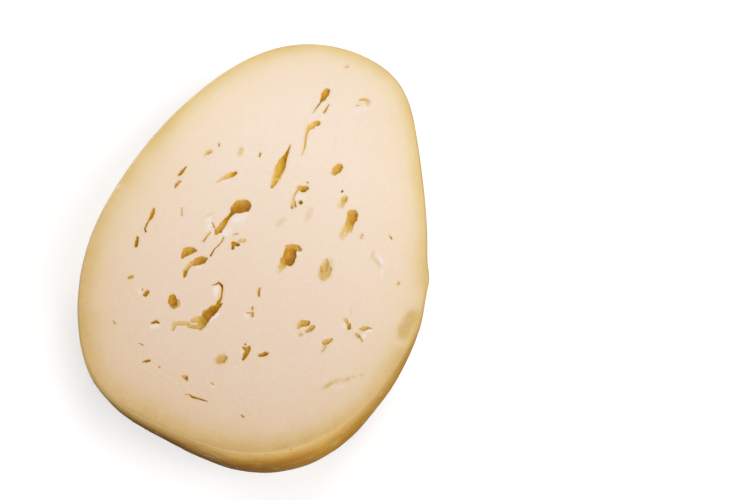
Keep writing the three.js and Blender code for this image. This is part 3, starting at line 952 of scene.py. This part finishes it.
def finish_paste():
    tree, shader = open_finish("paste")
    colour = paste_grain(tree, paste_zones(tree))
    lips = span(tree, measure(tree, "lip_mm"), 0.0, LIP_MM, 0.25, 0.0)
    colour = mix(tree, lips, colour, EYE_LIP)
    shreds = span(tree, cloud(tree, 1.2, 4.0, (1.0, 1.6, 1.0)), 0.36, 0.50, 0.25, 1.0)
    colour = mix(tree, times(tree, measure(tree, "torn"), shreds), colour, TORN_SHRED)
    # tan scrapes, and painted shade in a dent, a groove and along a torn ridge
    scrape_and_shade_breakup = span(tree, cloud(tree, 1.5, 4.0), 0.38, 0.58, 0.70, 1.0)
    colour = mix(tree, times(tree, measure(tree, "scraped_and_shaded"), scrape_and_shade_breakup), colour, TAN_SCRAPE_AND_SHADE)
    wire(tree, shader.inputs["Base Color"], colour)
    wire(tree, shader.inputs["Roughness"], span(tree, cloud(tree, 3.0, 3.0), 0.3, 0.7, 0.42, 0.60))
    wire(tree, shader.inputs["Normal"], bump(tree, cloud(tree, 1.0, 4.0, (1.0, 2.0, 1.0)), 0.16, 0.7))
    scatter(shader, 0.35, (1.0, 0.7, 0.4), SCATTER_MM)
    shader.inputs["Specular IOR Level"].default_value = 0.35


finish_paste()
print("paste finished")

# %% [markdown]
# ## Eye walls
# Light that enters an eye bounces about in yellow, fatty paste, and comes out ochre. A path tracer finds
# part of that by itself. The rest is in the colour, which deepens with the depth stored on the mesh, and in
# streaks along the curd. Deep, narrow tears are the most golden, because light bounces there most often.
# Where an eye runs out in a shallow scrape, the colour fades into that of the paste. The walls also carry
# the tan of the face's marks, scrapes and painted shade alike, and the painted shade towards the blunt end.

# %% Finish of the eye walls
DEEPEST_MM = 5.0
WALL_STREAK = srgb(219, 190, 118)
GOLDEN_TEAR = srgb(204, 153, 0)
SCRAPED_AND_SHADED_WALL = srgb(190, 154, 96)
WALL_STOPS = (
    (0.00, srgb(221, 201, 172)),
    (0.04, srgb(218, 193, 146)),
    (0.10, srgb(214, 183, 112)),
    (0.25, srgb(206, 167, 74)),
    (0.50, srgb(199, 153, 54)),
    (0.90, srgb(197, 145, 42)),
)


def finish_eye_walls():
    tree, shader = open_finish("eye wall")
    uneven = span(tree, cloud(tree, 1.2, 2.0, (1.0, 4.0, 1.0)), 0.3, 0.7, -0.4, 0.4)
    share = times(tree, plus(tree, measure(tree, "deep_mm"), uneven), 1 / DEEPEST_MM)
    colour = ramp(tree, share, WALL_STOPS)
    streaks = span(tree, cloud(tree, 0.7, 2.0, (1.0, 7.0, 1.0)), 0.45, 0.65)
    colour = mix(tree, times(tree, streaks, 0.25), colour, WALL_STREAK)
    below_lip = span(tree, measure(tree, "deep_mm"), 0.3, 1.2, 0.0, 0.95)
    colour = mix(tree, times(tree, measure(tree, "narrow"), below_lip), colour, GOLDEN_TEAR)
    # painted shade: the walls too get darker and rosier towards the blunt end
    colour = painted_shade_towards_blunt_end(tree, colour)
    # tan scrapes and painted shade carry on over the walls
    colour = mix(tree, measure(tree, "scraped_and_shaded"), colour, SCRAPED_AND_SHADED_WALL)
    wire(tree, shader.inputs["Base Color"], colour)
    wire(tree, shader.inputs["Roughness"], span(tree, cloud(tree, 1.5), 0.3, 0.7, 0.45, 0.65))
    wire(tree, shader.inputs["Normal"], bump(tree, cloud(tree, 0.8, 3.0, (1.0, 3.0, 1.0)), 0.12, 0.6))
    scatter(shader, 0.5, (1.0, 0.6, 0.25), SCATTER_MM)
    shader.inputs["Specular IOR Level"].default_value = 0.08


finish_eye_walls()
print("eye walls finished")

# %% [markdown]
# ## Rind
# The rind is thin, waxy and golden, cloudy from handling, with pale ovals where it dried, hairline scuffs
# and a few dark pores. Layers of noise at different sizes make all of these, each with its own colour, and
# the pores are bumps as well. By the cut the rind is paler, partly its own colour and partly painted light
# on the upper part of the rind, and its rounded cut edge is darker, painted shade that tones down the
# highlight there. Under the blunt end it is browner, partly its own colour and partly painted shade of the
# underside. The depth and the place say where.

# %% Finish of the rind
RIND_STOPS = (
    (0.0, srgb(218, 155, 50)),
    (0.5, srgb(228, 168, 64)),
    (1.0, srgb(238, 184, 87)),
)
PORE_STEP_MM = 6.0
# browner rind under the blunt end, partly its own colour and partly painted shade of the underside:
BLUNT_END_TURN = -25.0
BROWN_AND_SHADE_DEPTHS = (4.0, 18.0)  # mm below the face
BROWN_AND_SHADE_PLACES = (-56.0, -88.0)  # mm along the egg
BROWN_AND_SHADE_SHARES = (0.22, 0.85)
BROWN_AND_PAINTED_SHADE = srgb(112, 56, 0)
PALE_AND_PAINTED_LIGHT = srgb(248, 207, 136)
PAINTED_CREASE_SHADE = srgb(193, 165, 114)
PORE = srgb(120, 84, 34)
DRY_OVAL = srgb(232, 204, 142)
RUBBED_DARK = srgb(170, 118, 50)
RUBBED_PALE = srgb(240, 208, 158)
SMEAR = srgb(232, 198, 140)
SCUFF = srgb(240, 222, 180)


def rind_wear(tree, colour):
    ovals = span(tree, cloud(tree, 7.0, 1.0, (1.0, 1.6, 1.0)), 0.64, 0.74)
    colour = mix(tree, times(tree, ovals, 0.4), colour, DRY_OVAL)
    rubbed = cloud(tree, 1.7, 4.0, (4.0, 4.0, 1.0))
    colour = mix(tree, span(tree, rubbed, 0.45, 0.28, 0.0, 0.20), colour, RUBBED_DARK)
    colour = mix(tree, span(tree, rubbed, 0.55, 0.72, 0.0, 0.20), colour, RUBBED_PALE)
    smeared = times(tree, measure(tree, "scuffed"), span(tree, rubbed, 0.42, 0.60, 0.0, 0.38))
    colour = mix(tree, smeared, colour, SMEAR)
    scuffs = span(tree, cloud(tree, 1.1, 2.0, (1.0, 14.0, 3.0)), 0.66, 0.74)
    handled = span(tree, cloud(tree, 16.0, 2.0), 0.45, 0.62, 0.0, 0.55)
    return mix(tree, times(tree, scuffs, handled), colour, SCUFF)


def rind_pores(tree):
    """1 in the middle of each small pore, 0 between them."""
    spots = add(tree, "ShaderNodeTexVoronoi", {"Vector": place_mm(tree), "Scale": 1 / PORE_STEP_MM})
    return span(tree, spots, 0.05, 0.10, 1.0, 0.0)


def finish_rind():
    tree, shader = open_finish("rind")
    colour = ramp(tree, span(tree, cloud(tree, 22.0, 4.0), 0.32, 0.68), RIND_STOPS)
    along = add(tree, "ShaderNodeSeparateXYZ", {"Vector": place_mm(tree, BLUNT_END_TURN)}, out="Y")
    # browner rind with painted shade under the blunt end
    below = span(tree, measure(tree, "deep_mm"), *BROWN_AND_SHADE_DEPTHS)
    brown_and_painted_shade = times(tree, below, span(tree, along, *BROWN_AND_SHADE_PLACES, *BROWN_AND_SHADE_SHARES))
    colour = mix(tree, brown_and_painted_shade, colour, BROWN_AND_PAINTED_SHADE)
    # paler rind and painted light on the upper part of the rind, by the cut
    pale_and_painted_light = span(tree, measure(tree, "deep_mm"), 1.0, 10.0, 0.9, 0.0)
    colour = rind_wear(tree, mix(tree, pale_and_painted_light, colour, PALE_AND_PAINTED_LIGHT))
    # painted shade on the rounded cut edge, to tone down its highlight
    painted_crease_shade = span(tree, measure(tree, "deep_mm"), 0.5, CUT_EDGE, 1.0, 0.0)
    colour = mix(tree, painted_crease_shade, colour, PAINTED_CREASE_SHADE)
    pores = rind_pores(tree)
    colour = mix(tree, times(tree, pores, 0.35), colour, PORE)
    height = plus(tree, cloud(tree, 1.6, 4.0), times(tree, pores, -1.5))
    wire(tree, shader.inputs["Base Color"], colour)
    wire(tree, shader.inputs["Roughness"], span(tree, cloud(tree, 5.0, 4.0), 0.3, 0.7, 0.40, 0.60))
    wire(tree, shader.inputs["Normal"], bump(tree, height, 0.25, 0.6))
    scatter(shader, 0.15, (1.0, 0.6, 0.25), SCATTER_MM)
    shader.inputs["Specular IOR Level"].default_value = 0.10


finish_rind()
print("rind finished")

# %% [markdown]
# ## Handing the piece to the frame
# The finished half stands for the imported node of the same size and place, and rides on the part's only
# body.

# %% Ride on the frame
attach(half, "root")
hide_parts("cheese_half")
print("the finish replaces cheese_half")

# %% [markdown]
# ## Floor
# A pale floor that runs out of the picture gives a white ground. It glows a little, as a lit paper sweep
# does, but is hidden from diffuse and glossy rays, so that it throws no light up at the rind, and the
# underside stays in shade.

# %% Lay the floor
FLOOR_SIZE = 6.0
FLOOR_WHITE = 0.92
FLOOR_GLOW = 0.16


def make_floor():
    corner = FLOOR_SIZE / 2
    mesh = bpy.data.meshes.new("floor")
    corners = [(-corner, -corner, 0), (corner, -corner, 0), (corner, corner, 0), (-corner, corner, 0)]
    mesh.from_pydata(corners, [], [(0, 1, 2, 3)])
    floor = bpy.data.objects.new("floor", mesh)
    floor.visible_diffuse = False
    floor.visible_glossy = False
    bpy.context.scene.collection.objects.link(floor)
    paper = bpy.data.materials.new("floor")
    paper.use_nodes = True
    shader = paper.node_tree.nodes["Principled BSDF"]
    shader.inputs["Base Color"].default_value = (FLOOR_WHITE, FLOOR_WHITE, FLOOR_WHITE, 1)
    shader.inputs["Emission Color"].default_value = (1, 1, 1, 1)
    shader.inputs["Emission Strength"].default_value = FLOOR_GLOW
    shader.inputs["Roughness"].default_value = 0.9
    shader.inputs["Specular IOR Level"].default_value = 0.1
    mesh.materials.append(paper)


make_floor()
print("floor laid")

# %% [markdown]
# ## Light
# A large soft light high above the narrow end looks down into the eyes. Two more, lower down in front and
# at the right, bring out the upper part of the rind and leave the underside in shade. A low one at the rear
# left does the same for the back, and hardly touches the face. The world fills the rest: bright overhead,
# and dim from the sides and below.

# %% Hang the lights
KEY = ("key", (0.8, 2.9, 5.2), 3.0, 102.0)  # name, place and size in m, power in W
FRONT = ("front", (-0.3, -3.0, 2.9), 2.5, 50.0)
SIDE = ("side", (2.6, -1.5, 2.9), 2.5, 120.0)
REAR = ("rear", (-2.8, 2.0, 0.6), 1.1, 60.0)
FILL_OVERHEAD = 0.45
FILL_BELOW = 0.12
FILL_RISES = (-0.2, 1.0)  # from a little under the horizon to straight up


def hang_light(name, place, size, power):
    light = bpy.data.lights.new(name, "AREA")
    light.size = size
    light.energy = power
    lamp = bpy.data.objects.new(name, light)
    lamp.location = place
    lamp.rotation_euler = (-Vector(place)).to_track_quat("-Z", "Y").to_euler()
    bpy.context.scene.collection.objects.link(lamp)


def make_fill():
    world = bpy.data.worlds.new("studio")
    world.use_nodes = True
    tree = world.node_tree
    direction = tree.nodes.new("ShaderNodeTexCoord").outputs["Generated"]
    upward = add(tree, "ShaderNodeSeparateXYZ", {"Vector": direction}, out="Z")
    strength = span(tree, upward, *FILL_RISES, FILL_BELOW, FILL_OVERHEAD)
    tree.links.new(strength, tree.nodes["Background"].inputs["Strength"])
    tree.nodes["Background"].inputs["Color"].default_value = (1.0, 1.0, 1.0, 1)
    bpy.context.scene.world = world


for lamp in (KEY, FRONT, SIDE, REAR):
    hang_light(*lamp)
make_fill()
bpy.context.scene.view_settings.view_transform = "Standard"
print("four lights and a fill are set")

# %% [markdown]
# ## Camera
# The face is seen about thirty degrees off square, with the narrow end away and a little to the right. The
# camera looks at a point beside the half, which keeps the half at the left of the picture.

# %% Place the camera
VIEW_TURN = math.radians(16.4)
VIEW_HEIGHT = math.radians(60)
VIEW_DISTANCE = 0.7436
LENS = 85.0
SENSOR = 36.0
AIM = np.array([45.95, 8.56])  # on the face, in mm from its centre of area

camera = bpy.data.cameras.new("camera")
camera.lens = LENS
camera.sensor_width = SENSOR
viewpoint = bpy.data.objects.new("camera", camera)
aim_point = Vector((*((AIM - box_middle) * MM), FACE_HEIGHT * MM))
level_reach = math.cos(VIEW_HEIGHT)
sideways = math.sin(VIEW_TURN) * level_reach
forward = math.cos(VIEW_TURN) * level_reach
back = Vector((sideways, -forward, math.sin(VIEW_HEIGHT)))
viewpoint.location = aim_point + back * VIEW_DISTANCE
viewpoint.rotation_euler = (-back).to_track_quat("-Z", "Y").to_euler()
bpy.context.scene.collection.objects.link(viewpoint)
bpy.context.scene.camera = viewpoint
print("camera at", [round(side, 3) for side in viewpoint.location])
